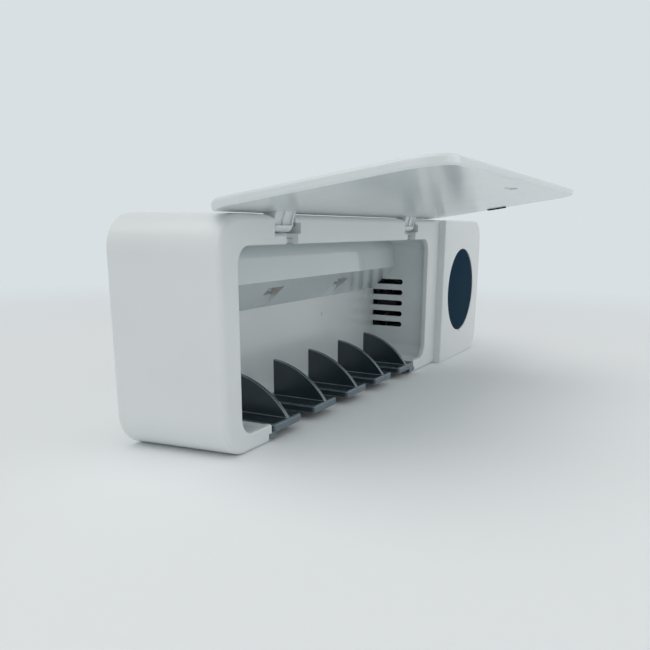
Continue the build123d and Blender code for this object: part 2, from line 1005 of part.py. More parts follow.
def lamp_outline(inset, rear):
    """Side view of the lamp housing, from the nose up over its crown."""
    slope = slant_drop / slant_run
    rise = inset / math.cos(math.radians(slant_angle))
    nose = (front_y + lamp_nose_y + inset, base_z + lamp_nose_z - inset * slope + rise)
    brow = (front_y + lamp_brow_y + inset, base_z + lamp_brow_z)
    crown = (front_y + lamp_crown_y + inset, base_z + liner_ceiling - inset)
    rear_top = (rear, base_z + liner_ceiling - inset)
    foot = (rear, nose[1] - (rear - nose[0]) * slope)
    bow = ((brow[0] + crown[0]) / 2 - 0.6, (brow[1] + crown[1]) / 2 + 0.6)
    edges = [
        Line(foot, nose),
        Line(nose, brow),
        ThreePointArc(brow, bow, crown),
        Line(crown, rear_top),
        Line(rear_top, foot),
    ]
    return make_face(Wire(edges))


def local_block(plane, x0, x1, y0, y1, z0, z1):
    """A box given in a tilted local frame."""
    return plane * block(x0, x1, y0, y1, z0, z1)


def make_lamp_housing():
    x0 = left_x + liner_left + lamp_end_gap
    x1 = left_x + liner_right - lamp_end_gap
    back = front_y + liner_back
    outer = side_profile(lamp_outline(0, back), x0, x1)
    outer = outer & slab(
        x0,
        x1,
        base_z + liner_floor,
        base_z + liner_ceiling - lamp_end_gap,
        liner_radius - lamp_end_gap,
        front_y,
        front_y + liner_back,
    )
    inner = side_profile(lamp_outline(lamp_shell, back + 1), x0 + lamp_shell, x1 - lamp_shell)
    inner = inner & slab(
        x0 + lamp_shell,
        x1 - lamp_shell,
        base_z + liner_floor,
        base_z + liner_ceiling - lamp_shell - lamp_end_gap,
        liner_radius - lamp_shell,
        front_y,
        back + 1,
    )
    housing = outer - inner
    half = lamp_window_width / 2
    for along in lamp_window_centres:
        plane = slant_plane(along)
        deep = lamp_recess_depth + led_board_thickness
        tub = local_block(
            plane,
            -half - lamp_frame,
            half + lamp_frame,
            lamp_window_start - lamp_frame,
            lamp_ramp_end + lamp_frame,
            -deep - lamp_frame,
            -0.5,
        )
        housing = housing + (tub & outer)
    for along in lamp_window_centres:
        plane = slant_plane(along)
        housing = housing - local_block(
            plane, -half, half, lamp_window_start, lamp_window_end, -deep, 1
        )
        ramp_side = Plane(
            origin=plane.from_local_coords((-half, 0, 0)), x_dir=plane.y_dir, z_dir=plane.x_dir
        )
        ramp = Polygon(
            (lamp_window_end - 0.1, 0.5),
            (lamp_window_end - 0.1, -lamp_ramp_depth),
            (lamp_ramp_end, 0.0),
            (lamp_ramp_end, 0.5),
            align=None,
        )
        housing = housing - extrude(ramp_side * ramp, lamp_window_width, dir=plane.x_dir)
    for along in lamp_screw_positions:
        x, z = left_x + along, base_z + lamp_screw_z
        boss = rod_y(x, z, board_boss_radius, front_y + lamp_nose_y, back) & outer
        bore = rod_y(x, z, small_screw_radius + pin_gap, back - lamp_screw_bore, back + 1)
        housing = housing + boss - bore
    return housing


def make_led_boards():
    half = lamp_window_width / 2 - led_board_gap
    boards = []
    for along in lamp_window_centres:
        boards.append(
            local_block(
                slant_plane(along),
                -half,
                half,
                lamp_window_start + led_board_gap,
                lamp_window_end - led_board_gap,
                -lamp_recess_depth - led_board_thickness,
                -lamp_recess_depth,
            )
        )
    return Compound(children=[solid for board in boards for solid in board.solids()])


def led_middle():
    return (lamp_window_start + lamp_window_end) / 2


def make_leds():
    half = led_size / 2
    middle = led_middle()
    leds = []
    for along in lamp_window_centres:
        plane = slant_plane(along)
        body = local_block(
            plane,
            -half,
            half,
            middle - half,
            middle + half,
            -lamp_recess_depth,
            -lamp_recess_depth + led_height,
        )
        leds.append(body)
    return Compound(children=[solid for led in leds for solid in led.solids()])


def make_led_lenses():
    middle = led_middle()
    lenses = []
    for along in lamp_window_centres:
        plane = slant_plane(along)
        seat = -lamp_recess_depth + led_height
        ball = plane * (Pos(0, middle, seat) * Sphere(led_lens_radius))
        above = local_block(plane, -3, 3, middle - 3, middle + 3, seat, seat + 3)
        lenses.append(ball & above)
    return Compound(children=[solid for lens in lenses for solid in lens.solids()])


def make_lamp_screws():
    seat = front_y + liner_back + liner_wall
    screws = [small_screw(left_x + along, base_z + lamp_screw_z, seat) for along in lamp_screw_positions]
    return Compound(children=[solid for screw in screws for solid in screw.solids()])


# Fan
fan_y = front_y + fan_centre_y
fan_z = base_z + fan_centre_z
fan_x0 = liner_outer_x
fan_x1 = fan_x0 + fan_thickness


def make_fan_frame():
    frame = block(fan_x0, fan_x1, fan_y - half_fan, fan_y + half_fan, fan_z - half_fan, fan_z + half_fan)
    frame = fillet(frame.edges().filter_by(Axis.X), fan_corner_radius)
    frame = frame - rod_x(fan_y, fan_z, fan_bore_radius, fan_x0 - 1, fan_x1 + 1)
    boss_x1 = fan_x0 + fan_boss_thickness
    frame = frame + rod_x(fan_y, fan_z, fan_hub_radius, fan_x0, boss_x1)
    half = fan_strut_width / 2
    for turn in (30, 150, 270):
        strut = block(fan_x0, boss_x1, fan_y + 3, fan_y + fan_bore_radius + 0.4, fan_z - half, fan_z + half)
        strut = strut.rotate(Axis((0, fan_y, fan_z), (1, 0, 0)), turn)
        frame = frame + strut
    half_hole = fan_hole_spacing / 2
    for sy in (-1, 1):
        for sz in (-1, 1):
            frame = frame - rod_x(
                fan_y + sy * half_hole, fan_z + sz * half_hole, fan_hole_radius, fan_x0 - 1, fan_x1 + 1
            )
    return frame - rod_x(fan_y, fan_z, fan_shaft_radius + pin_gap, fan_x0 + 0.6, fan_x1)


def make_fan_rotor():
    x0 = fan_x0 + fan_boss_thickness + 0.4
    x1 = x0 + fan_rotor_length
    rotor = rod_x(fan_y, fan_z, fan_hub_radius, x0, x1)
    rotor = rotor + rod_x(fan_y, fan_z, fan_shaft_radius, fan_x0 + 0.8, x0 + 1)
    tip = fan_bore_radius - fan_blade_tip_gap
    blade = block(
        x0 + 0.3,
        x1 - 0.3,
        fan_y + fan_hub_radius - 0.6,
        fan_y + tip - 0.2,
        fan_z - fan_blade_thickness / 2,
        fan_z + fan_blade_thickness / 2,
    )
    blade = blade.rotate(Axis(((x0 + x1) / 2, fan_y, fan_z), (0, 1, 0)), fan_blade_pitch)
    blade = blade & block(x0, x1, fan_y, fan_y + tip, fan_z - 5, fan_z + 5)
    spin = Axis((0, fan_y, fan_z), (1, 0, 0))
    for number in range(fan_blade_count):
        rotor = rotor + blade.rotate(spin, 360 * number / fan_blade_count)
    return rotor


# Brush rack
def finger_centre(number):
    return left_x + first_finger + divider_pitch * number


def rack_finger(middle):
    finger = block(
        middle - finger_width / 2,
        middle + finger_width / 2,
        front_y + rack_front,
        front_y + neck_gap_depth + 2,
        base_z + finger_bottom,
        base_z + finger_top,
    )
    front_corners = finger.edges().filter_by(Axis.Z).group_by(Axis.Y)[0]
    finger = fillet(front_corners, finger_corner_radius)
    lip = finger.edges().group_by(Axis.Z)[-1].group_by(Axis.Y)[0]
    finger = chamfer(lip, finger_lip_bevel)
    under = finger.edges().group_by(Axis.Z)[0]
    return chamfer(under, finger_under_bevel)


def rack_divider(middle):
    low = base_z + finger_top - 0.4
    rear = front_y + divider_rear
    top = (rear, base_z + divider_top)
    tip = (front_y + divider_tip, base_z + finger_top)
    bend = (front_y + divider_mid_y, base_z + divider_mid_z)
    edges = [
        Line((rear, low), top),
        ThreePointArc(top, bend, tip),
        Line(tip, (tip[0], low)),
        Line((tip[0], low), (rear, low)),
    ]
    outline = make_face(Wire(edges))
    return side_profile(outline, middle - divider_thickness / 2, middle + divider_thickness / 2)


def make_brush_rack():
    rack = block(
        rack_left,
        rack_right,
        front_y + neck_gap_depth,
        front_y + rack_rear,
        base_z + finger_bottom,
        base_z + finger_top,
    )
    for number in range(divider_count):
        rack = rack + rack_finger(finger_centre(number))
    gap_radius = (divider_pitch - finger_width) / 2
    for number in range(divider_count - 1):
        middle = finger_centre(number) + divider_pitch / 2
        rack = rack - rod_z(
            middle, front_y + neck_gap_depth, gap_radius, base_z + finger_bottom - 1, base_z + finger_top + 1
        )
    for number in range(divider_count):
        rack = rack + rack_divider(finger_centre(number) + divider_offset)
    runner_y0 = front_y + runner_front
    runner_y1 = front_y + rack_rear
    low, high = base_z + runner_bottom, base_z + runner_top
    ends = ((rack_left, -1), (rack_right, 1))
    for edge, side in ends:
        inner = edge - side * runner_root
        outer = edge + side * runner_reach
        rack = rack + block(min(inner, outer), max(inner, outer), runner_y0, runner_y1, low, high)
        rack = rack + block(
            min(inner, edge),
            max(inner, edge),
            runner_y0 + finger_corner_radius,
            runner_y1,
            low,
            base_z + finger_bottom + finger_under_bevel + 0.1,
        )
    return rack


# Door, modelled closed and then turned to its open rest position
door_outer_y = module_front_y
door_inner_y = door_outer_y + door_thickness
door_x0 = left_x + door_left_inset
door_x1 = step_x - door_side_gap
door_z0 = base_z + door_base_gap
door_z1 = door_z0 + door_height
magnet_x = door_x1 - magnet_from_edge
magnet_z = 0.0


def magnet_block(gap):
    return block(
        magnet_x - magnet_width / 2 - gap,
        magnet_x + magnet_width / 2 + gap,
        door_inner_y - magnet_thickness,
        door_inner_y + gap,
        magnet_z - magnet_length / 2 - gap,
        magnet_z + magnet_length / 2 + gap,
    )


def door_plate():
    plate = slab(door_x0, door_x1, door_z0, door_z1, corner_radius, door_outer_y, door_inner_y)
    outer_edges = plate.faces().sort_by(Axis.Y)[0].edges()
    plate = fillet(outer_edges, door_outer_radius)
    inner_edges = plate.faces().sort_by(Axis.Y)[-1].edges()
    plate = chamfer(inner_edges, door_inner_bevel)
    relief = side_profile(
        Polygon(
            (door_inner_y - door_relief, door_z1 + 0.01),
            (door_inner_y + 0.01, door_z1 - door_relief),
            (door_inner_y + 1, door_z1 + 1),
            align=None,
        ),
        door_x0 - 1,
        door_x1 + 1,
    )
    grip_plane = Plane(
        origin=((door_x0 + door_x1) / 2, door_inner_y - grip_depth, door_z0 + grip_from_edge),
        x_dir=(1, 0, 0),
        z_dir=(0, 1, 0),
    )
    grip = extrude(grip_plane * SlotOverall(grip_length, grip_width), grip_depth + 1)
    return plate - relief - grip


def hinge_arm(centre):
    """One arm in its open position: a knuckle, a recessed web and three ribs."""
    x0, x1 = arm_limits(centre)
    knuckle = rod_x(hinge_y, hinge_z, knuckle_radius, x0, x1)
    knuckle = chamfer(knuckle.edges().filter_by(GeomType.CIRCLE), knuckle_bevel)
    ledge = block(
        x0 - 1,
        x1 + 1,
        hinge_y - knuckle_radius - 1,
        front_y + ledge_y,
        base_z + ledge_z,
        hinge_z + knuckle_radius + 1,
    )
    knuckle = knuckle - ledge
    lean = math.radians(door_open_angle - 90)
    face_distance = hinge_y - door_inner_y

    def on_door(forward, sunk):
        """A point on the open door's inner face, sunk a little into the panel."""
        out = face_distance + sunk
        return (
            hinge_y - forward * math.cos(lean) + out * math.sin(lean),
            hinge_z + forward * math.sin(lean) + out * math.cos(lean),
        )

    toe = (front_y + ledge_y + 0.3, base_z + ledge_z - 0.6)
    front_foot = (front_y + ledge_y, base_z + ledge_z)
    tip = on_door(4.6, 0.3)
    bend = (front_y + ledge_y - 0.35, base_z + ledge_z + 2.4)
    heel = on_door(-1.4, 0.3)
    rear_foot = (hinge_y + 2.2, hinge_z)
    rib_edges = [
        Line(toe, front_foot),
        ThreePointArc(front_foot, bend, tip),
        Line(tip, heel),
        Line(heel, rear_foot),
        Line(rear_foot, toe),
    ]
    rib_face = make_face(Wire(rib_edges))
    web_foot = (front_y + ledge_y + web_setback, base_z + ledge_z)
    web_top = on_door(4.6 - web_setback, 0.3)
    web_bend = (front_y + ledge_y + web_setback - 0.35, base_z + ledge_z + 2.4)
    web_edges = [
        ThreePointArc(web_foot, web_bend, web_top),
        Line(web_top, heel),
        Line(heel, rear_foot),
        Line(rear_foot, web_foot),
    ]
    web_face = make_face(Wire(web_edges))
    front_room = block(
        x0 + arm_rib_thickness,
        x1 - arm_rib_thickness,
        hinge_y - knuckle_radius - 1,
        front_y + ledge_y + web_setback,
        base_z + ledge_z,
        hinge_z + knuckle_radius + 1,
    )
    arm = (knuckle - front_room) + side_profile(web_face, x0 + 0.4, x1 - 0.4)
    middle = (x0 + x1 - arm_rib_thickness) / 2
    for start in (x0, middle, x1 - arm_rib_thickness):
        arm = arm + side_profile(rib_face, start, start + arm_rib_thickness)
    return arm - rod_x(hinge_y, hinge_z, pin_radius + pin_gap, x0 - 1, x1 + 1)


def make_door_panel():
    plate = door_plate() - magnet_block(0.05)
    door = plate.rotate(hinge_axis, -door_open_angle)
    for centre in hinge_centres:
        door = door + hinge_arm(centre)
    return door


def make_door_magnet():
    return magnet_block(0).rotate(hinge_axis, -door_open_angle)


def make_hinge_pin(centre):
    x0, x1 = pocket_limits(centre)
    return rod_x(hinge_y, hinge_z, pin_radius, x0 - pocket_wall, x1 + pocket_wall)


write("main_housing", make_main_housing())
write("back_cover", make_back_cover())
write("back_cover_screws", make_cover_screws())
write("control_cover", make_control_cover())
write("round_button", make_button())
write("switch_plunger", make_switch_plunger())
write("tact_switch", make_tact_switch())
write("main_board", make_main_board())
write("board_screws", make_board_screws())
write("charging_port", make_charging_port())
write("door_sensor", make_door_sensor())
write("battery_cell", make_battery())
write("battery_holder", make_battery_holder())
write("battery_contacts", make_battery_contacts())
write("compartment_liner", make_liner())
write("lamp_housing", make_lamp_housing())
write("lamp_boards", make_led_boards())
write("lamp_leds", make_leds())
write("lamp_lenses", make_led_lenses())
write("lamp_screws", make_lamp_screws())
write("fan_frame", make_fan_frame())
write("fan_rotor", make_fan_rotor())
write("brush_rack", make_brush_rack())
write("door_panel", make_door_panel())
write("door_magnet", make_door_magnet())
write("left_hinge_pin", make_hinge_pin(hinge_centres[0]))
write("right_hinge_pin", make_hinge_pin(hinge_centres[1]))
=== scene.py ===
import bpy
import json
import math
from mathutils import Matrix, Vector


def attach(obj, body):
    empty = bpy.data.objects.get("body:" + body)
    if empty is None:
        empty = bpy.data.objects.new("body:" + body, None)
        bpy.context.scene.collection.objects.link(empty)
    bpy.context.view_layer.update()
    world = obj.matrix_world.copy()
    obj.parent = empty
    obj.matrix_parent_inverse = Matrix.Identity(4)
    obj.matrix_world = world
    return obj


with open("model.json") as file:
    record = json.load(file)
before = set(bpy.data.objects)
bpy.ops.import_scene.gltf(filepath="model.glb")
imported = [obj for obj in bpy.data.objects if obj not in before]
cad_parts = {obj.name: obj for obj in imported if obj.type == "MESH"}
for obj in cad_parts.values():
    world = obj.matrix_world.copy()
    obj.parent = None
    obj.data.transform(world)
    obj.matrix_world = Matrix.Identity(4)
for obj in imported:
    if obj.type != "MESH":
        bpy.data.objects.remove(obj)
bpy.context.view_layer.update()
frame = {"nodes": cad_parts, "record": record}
nodes = frame["nodes"]
scene = bpy.context.scene

# Whole object, in metres: left end, front face and underside of the box
LEFT, FRONT, BASE = -0.1444, -0.0445, -0.042
MILLIMETRE = 0.001

# Patterns in the materials: a broad cloudy one, and a fine grain with its depth in metres
CLOUD_SCALE, CLOUD_DETAIL, CLOUD_FROM, CLOUD_TO = 28.0, 3.0, 0.3, 0.7
GRAIN_SCALE, GRAIN_DETAIL, GRAIN_DEPTH = 900.0, 2.0, 0.0002
# Shares by which a cloud's darker places lose colour, and by which the gloss varies
DARKER, GLOSS_SPREAD = 0.03, 0.12
BEVEL_SAMPLES = 6
# Where the painted highlight on an edge starts and is full, as the cosine of the normal's turn, and
# where the painted light on a front face does, as the normal's Y
HIGHLIGHT_STARTS, HIGHLIGHT_FULL = 0.99, 0.86
FRONT_LIGHT_STARTS, FRONT_LIGHT_FULL = -0.6, -0.97

# Painted shade of the cross recesses in the heads of the screws, as thin dark crosses, in metres
RECESS_REACH, RECESS_WIDTH, RECESS_THICK, RECESS_TAPER = 0.00125, 0.0005, 0.00008, 0.86

# Dark cap on the magnet, in metres, with its steps per rounded corner and the shape of its top
CAP_WIDTH, CAP_LENGTH, CAP_PROUD, CAP_ROUND = 0.0036, 0.010, 0.0005, 0.0009
CAP_CORNER_STEPS, CAP_SHOULDER, CAP_TOP_SHARE = 6, 0.7, 0.93

# Floor in metres: half its side, and where it starts and ends to fade into the backdrop
REACH, FADE_FROM, FADE_TO = 3.0, 0.18, 0.7
FLOOR_ROUGHNESS, FLOOR_SPECULAR = 0.6, 0.2
DOME_STRENGTH = 0.37

# Lamps: name, place and size in metres, power in watts
LAMPS = (
    ("overhead", (-0.35, 0.1, 1.2), (1.4, 1.4), 7.4),
    ("left", (-1.3, -0.35, 0.6), (1.5, 0.8), 2.1),
    ("front", (0.7, -1.2, 0.6), (1.6, 0.9), 3.9),
)

# Camera, fitted to the edges of the box in the photograph: place in millimetres from the box's
# left end, front face and underside, turn as a rotation vector, the rest in pixels
EYE, TURN = (-182.04, -138.12, 80.45), (-0.2427, 0.1358, -1.102)
FOCAL, AXIS_X, AXIS_Y, FRAME_SIZE = 696.6, 345.0, 413.4, 650.0
SENSOR_WIDTH, NEAREST = 36.0, 0.01


def at(along, back, up):
    """A place given in millimetres from the left end, the front face and the underside."""
    return Vector((LEFT + along * MILLIMETRE, FRONT + back * MILLIMETRE, BASE + up * MILLIMETRE))


def linear(red, green, blue):
    """Screen colour, 0 to 255, as linear light."""
    return tuple(
        (c / 255 / 12.92) if c / 255 <= 0.04045 else ((c / 255 + 0.055) / 1.055) ** 2.4
        for c in (red, green, blue)
    ) + (1.0,)


PALE, FLOOR_COLOUR, DOME_COLOUR = linear(217, 224, 227), linear(246, 249, 250), linear(244, 247, 248)


# Shader nodes
def add(tree, kind, **settings):
    """A new shader node; a setting's name is that of an attribute or of an input."""
    node = tree.nodes.new(kind)
    for name, value in settings.items():
        if name in node.inputs:
            node.inputs[name].default_value = value
        elif name.replace("_", " ") in node.inputs:
            node.inputs[name.replace("_", " ")].default_value = value
        else:
            setattr(node, name, value)
    return node


def two_tone(tree, factor, first, second, low, high):
    """A colour that runs from the first to the second as the factor goes from low to high."""
    ramp = tree.nodes.new("ShaderNodeValToRGB")
    ends = ramp.color_ramp.elements
    ends[0].position, ends[0].color = low, first
    ends[1].position, ends[1].color = high, second
    tree.links.new(factor, ramp.inputs["Fac"])
    return ramp.outputs["Color"]


def covered(tree, factor, under, cover):
    """A colour over another one, where the factor is one."""
    mix = tree.nodes.new("ShaderNodeMix")
    mix.data_type = "RGBA"
    tree.links.new(factor, mix.inputs["Factor"])
    colours = [socket for socket in mix.inputs if socket.type == "RGBA"]
    tree.links.new(under, colours[0])
    colours[1].default_value = cover
    return [socket for socket in mix.outputs if socket.type == "RGBA"][0]


def remapped(tree, value, **ends):
    """A value taken from one range to another one; both run from nought to one if not given."""
    node = add(tree, "ShaderNodeMapRange", **ends)
    tree.links.new(value, node.inputs["Value"])
    return node.outputs["Result"]


def side_facing(tree, coord):
    """One on faces that look left or right, nought on the others."""
    split = add(tree, "ShaderNodeSeparateXYZ")
    tree.links.new(coord.outputs["Normal"], split.inputs["Vector"])
    size = add(tree, "ShaderNodeMath", operation="ABSOLUTE")
    tree.links.new(split.outputs["X"], size.inputs[0])
    return size.outputs["Value"]


def front_light_mask(tree, coord):
    """One on faces that look to the front, nought on the others: the mask of the painted front light."""
    split = add(tree, "ShaderNodeSeparateXYZ")
    tree.links.new(coord.outputs["Normal"], split.inputs["Vector"])
    return remapped(tree, split.outputs["Y"], From_Min=FRONT_LIGHT_STARTS, From_Max=FRONT_LIGHT_FULL)


def edge_highlight_mask(tree, soft):
    """One along softened edges, nought on flat faces: the mask of the painted edge highlight."""
    face = add(tree, "ShaderNodeNewGeometry")
    along = add(tree, "ShaderNodeVectorMath", operation="DOT_PRODUCT")
    tree.links.new(soft.outputs["Normal"], along.inputs[0])
    tree.links.new(face.outputs["True Normal"], along.inputs[1])
    return remapped(tree, along.outputs["Value"], From_Min=HIGHLIGHT_STARTS, From_Max=HIGHLIGHT_FULL)


# Materials
def material(
    name,
    colour,
    roughness,
    coat=0.0,
    coat_roughness=0.1,
    bump=0.0,
    metallic=0.0,
    specular=0.5,
    edge=0.0,
    edge_highlight_colour=None,
    side_colour=None,
    front_light_colour=None,
):
    """Moulded plastic or metal: mottled colour, uneven gloss, fine grain and softened edges, with a
    painted highlight along the edges and painted light on front faces where those colours are given.
    """
    mat = bpy.data.materials.new(name)
    mat.use_nodes = True
    tree = mat.node_tree
    link = tree.links.new
    shader = tree.nodes["Principled BSDF"]
    coord = add(tree, "ShaderNodeTexCoord")
    cloud = add(tree, "ShaderNodeTexNoise", Scale=CLOUD_SCALE, Detail=CLOUD_DETAIL)
    link(coord.outputs["Object"], cloud.inputs["Vector"])
    dark = tuple(c * (1 - DARKER) for c in colour[:3]) + (1.0,)
    tone = two_tone(tree, cloud.outputs["Fac"], dark, colour, CLOUD_FROM, CLOUD_TO)
    if side_colour:
        tone = covered(tree, side_facing(tree, coord), tone, side_colour)
    # Painted light: faces that look to the front are lighter
    if front_light_colour:
        tone = covered(tree, front_light_mask(tree, coord), tone, front_light_colour)
    relief = None
    if bump:
        fine = add(tree, "ShaderNodeTexNoise", Scale=GRAIN_SCALE, Detail=GRAIN_DETAIL)
        link(coord.outputs["Object"], fine.inputs["Vector"])
        relief = add(tree, "ShaderNodeBump", Strength=bump, Distance=GRAIN_DEPTH)
        link(fine.outputs["Fac"], relief.inputs["Height"])
        link(relief.outputs["Normal"], shader.inputs["Normal"])
    if edge:
        soft = add(tree, "ShaderNodeBevel", samples=BEVEL_SAMPLES, Radius=edge)
        link(soft.outputs["Normal"], (relief or shader).inputs["Normal"])
        # Painted highlight: a lighter colour along the softened edges
        if edge_highlight_colour:
            tone = covered(tree, edge_highlight_mask(tree, soft), tone, edge_highlight_colour)
    link(tone, shader.inputs["Base Color"])
    gloss = remapped(
        tree,
        cloud.outputs["Fac"],
        To_Min=roughness * (1 - GLOSS_SPREAD),
        To_Max=roughness * (1 + GLOSS_SPREAD),
    )
    link(gloss, shader.inputs["Roughness"])
    shader.inputs["Metallic"].default_value = metallic
    shader.inputs["Coat Weight"].default_value = coat
    shader.inputs["Coat Roughness"].default_value = coat_roughness
    shader.inputs["Specular IOR Level"].default_value = specular
    return mat


# One for each slot of the record, and two for what the record has no slot for
looks = {
    "housing_white": material("housing_white", linear(231, 235, 235), 0.34, coat=0.15, bump=0.06),
    "cover_white": material("cover_white", linear(229, 232, 232), 0.55, bump=0.35),
    "liner_white": material(
        "liner_white",
        linear(226, 232, 233),
        0.26,
        coat=0.25,
        coat_roughness=0.08,
        bump=0.03,
    ),
    "lamp_white": material(
        "lamp_white",
        linear(220, 229, 231),
        0.14,
        coat=0.6,
        coat_roughness=0.04,
        bump=0.02,
    ),
    "door_white": material(
        "door_white",
        linear(228, 234, 235),
        0.22,
        coat=0.3,
        coat_roughness=0.12,
        bump=0.02,
        edge=0.0003,
    ),
    "button_navy": material("button_navy", linear(6, 44, 64), 0.55, bump=0.12, specular=0.02, edge=0.0003),
    "rack_grey": material(
        "rack_grey",
        linear(36, 50, 57),
        0.26,
        bump=0.1,
        specular=0.95,
        edge=0.0005,
        # Painted highlight: a lighter colour along the rack's edges
        edge_highlight_colour=linear(165, 184, 193),
        # Painted light: the rack's front faces lighter
        front_light_colour=linear(92, 112, 122),
    ),
    "fan_black": material("fan_black", linear(14, 15, 17), 0.5, bump=0.15, specular=0.25),
    "switch_black": material("switch_black", linear(22, 23, 25), 0.4, bump=0.1),
    "board_green": material("board_green", linear(20, 92, 58), 0.35, coat=0.2, bump=0.1),
    "lamp_board": material(
        "lamp_board",
        linear(182, 104, 12),
        0.6,
        bump=0.06,
        specular=0.1,
        side_colour=linear(196, 116, 16),
    ),
    "led_grey": material("led_grey", linear(92, 104, 112), 0.35, bump=0.05, edge=0.0002),
    "lens_clear": material("lens_clear", linear(186, 204, 214), 0.08, coat=0.3),
    "battery_sleeve": material("battery_sleeve", linear(34, 86, 150), 0.3, bump=0.1),
    "contact_nickel": material("contact_nickel", linear(190, 188, 180), 0.25, metallic=1.0, bump=0.05),
    "screw_steel": material("screw_steel", linear(165, 168, 172), 0.3, metallic=1.0, bump=0.08),
    "pin_steel": material("pin_steel", linear(175, 178, 182), 0.22, metallic=1.0, bump=0.04),
    "port_steel": material("port_steel", linear(180, 182, 186), 0.28, metallic=1.0, bump=0.05),
    "magnet_dark": material("magnet_dark", linear(20, 23, 27), 0.85, bump=0.08, specular=0.0),
    # Painted shade: the dark crosses stand in for the shade inside the screws' cross recesses
    "recess_painted_shade": material("recess_painted_shade", linear(18, 19, 21), 0.6, metallic=0.4, bump=0.1),
}
slot_of = {part["node"]: part["material_slot"] for part in frame["record"]["subparts"]}
for node, slot in slot_of.items():
    nodes[node].data.materials.clear()
    nodes[node].data.materials.append(looks[slot])
nodes["door_magnet"].data.materials[0] = looks["magnet_dark"]


def new_piece(name, verts, faces, look, body):
    """A mesh of its own that rides on a body."""
    mesh = bpy.data.meshes.new(name)
    mesh.from_pydata(verts, [], faces)
    mesh.update()
    mesh.materials.append(look)
    piece = bpy.data.objects.new(name, mesh)
    scene.collection.objects.link(piece)
    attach(piece, body)


def walls(lower, upper, count):
    """The faces between two rings of points, by the number of each ring's first point."""
    return [
        [lower + i, lower + (i + 1) % count, upper + (i + 1) % count, upper + i]
        for i in range(count)
    ]


# Painted shade of the cross recesses in the heads of the screws
def islands(obj):
    """The separate solids of one mesh, as lists of points."""
    parent = list(range(len(obj.data.vertices)))

    def top(i):
        while parent[i] != i:
            parent[i] = parent[parent[i]]
            i = parent[i]
        return i

    seen_at = {}
    for vertex in obj.data.vertices:
        key = tuple(round(c, 6) for c in vertex.co)
        parent[top(vertex.index)] = top(seen_at.setdefault(key, vertex.index))
    for line in obj.data.edges:
        parent[top(line.vertices[0])] = top(line.vertices[1])
    groups = {}
    for vertex in obj.data.vertices:
        groups.setdefault(top(vertex.index), []).append(vertex.co)
    return list(groups.values())


def cross_outline():
    """The twelve corners of a cross, round its middle."""
    arm, half = RECESS_REACH, RECESS_WIDTH / 2
    quarter = [(half, -arm), (half, -half), (arm, -half)]
    corners = []
    for _ in range(4):
        corners += quarter
        quarter = [(-z, x) for x, z in quarter]
    return corners


def recess_shade_crosses(node, name):
    """Thin dark crosses on the screw heads, which face the rear: painted shade of the cross recesses."""
    verts, faces = [], []
    ring = cross_outline()
    count = len(ring)
    for points in islands(nodes[node]):
        lows = [min(p[i] for p in points) for i in range(3)]
        highs = [max(p[i] for p in points) for i in range(3)]
        x, y, z = (lows[0] + highs[0]) / 2, highs[1], (lows[2] + highs[2]) / 2
        start = len(verts)
        for lift, share in ((-RECESS_THICK, 1.0), (RECESS_THICK / 2, RECESS_TAPER)):
            for dx, dz in ring:
                verts.append((x + dx * share, y + lift, z + dz * share))
        faces.append([start + i for i in range(count)])
        faces.append([start + count + i for i in reversed(range(count))])
        faces += [face[::-1] for face in walls(start, start + count, count)]
    new_piece(name, verts, faces, looks["recess_painted_shade"], "housing")


recess_shade_crosses("back_cover_screws", "back_screw_recess_shade")
recess_shade_crosses("board_screws", "board_screw_recess_shade")


# Dark cap on the magnet, a little proud of the door's inner face
def cap_outline():
    """A rectangle with rounded corners, round its middle."""
    outline = []
    for quarter, (side_x, side_y) in enumerate(((1, 1), (-1, 1), (-1, -1), (1, -1))):
        for step in range(CAP_CORNER_STEPS + 1):
            angle = math.radians(90 * (quarter + step / CAP_CORNER_STEPS))
            outline.append((
                side_x * (CAP_WIDTH / 2 - CAP_ROUND) + CAP_ROUND * math.cos(angle),
                side_y * (CAP_LENGTH / 2 - CAP_ROUND) + CAP_ROUND * math.sin(angle),
            ))
    return outline


def magnet_cap():
    """A thin rounded block on the magnet's inner face, in the slant of the open door."""
    magnet = nodes["door_magnet"].data
    points = [v.co for v in magnet.vertices]
    middle = sum(points, Vector()) / len(points)
    broad = max(magnet.polygons, key=lambda face: (-face.normal.z, face.area))
    out = broad.normal.normalized()
    seat = broad.center.dot(out) - middle.dot(out)
    across = Vector((1.0, 0.0, 0.0))
    along = out.cross(across).normalized()
    outline = cap_outline()
    verts = []
    for lift, share in ((0.0, 1.0), (CAP_PROUD * CAP_SHOULDER, 1.0), (CAP_PROUD, CAP_TOP_SHARE)):
        for x, y in outline:
            verts.append(middle + out * (seat + lift) + across * x * share + along * y * share)
    count = len(outline)
    faces = walls(0, count, count) + walls(count, 2 * count, count)
    faces.append(list(range(2 * count, 3 * count)))
    faces.append(list(reversed(range(count))))
    new_piece("magnet_cap", verts, faces, looks["magnet_dark"], "door")


magnet_cap()


# Floor and backdrop, with one pale colour
def seen_rays(tree):
    """One for what the camera, gloss and glass see, nought for light on the object."""
    path = tree.nodes.new("ShaderNodeLightPath")
    first = add(tree, "ShaderNodeMath", operation="MAXIMUM")
    second = add(tree, "ShaderNodeMath", operation="MAXIMUM")
    tree.links.new(path.outputs["Is Camera Ray"], first.inputs[0])
    tree.links.new(path.outputs["Is Glossy Ray"], first.inputs[1])
    tree.links.new(first.outputs["Value"], second.inputs[0])
    tree.links.new(path.outputs["Is Transmission Ray"], second.inputs[1])
    return second.outputs["Value"]


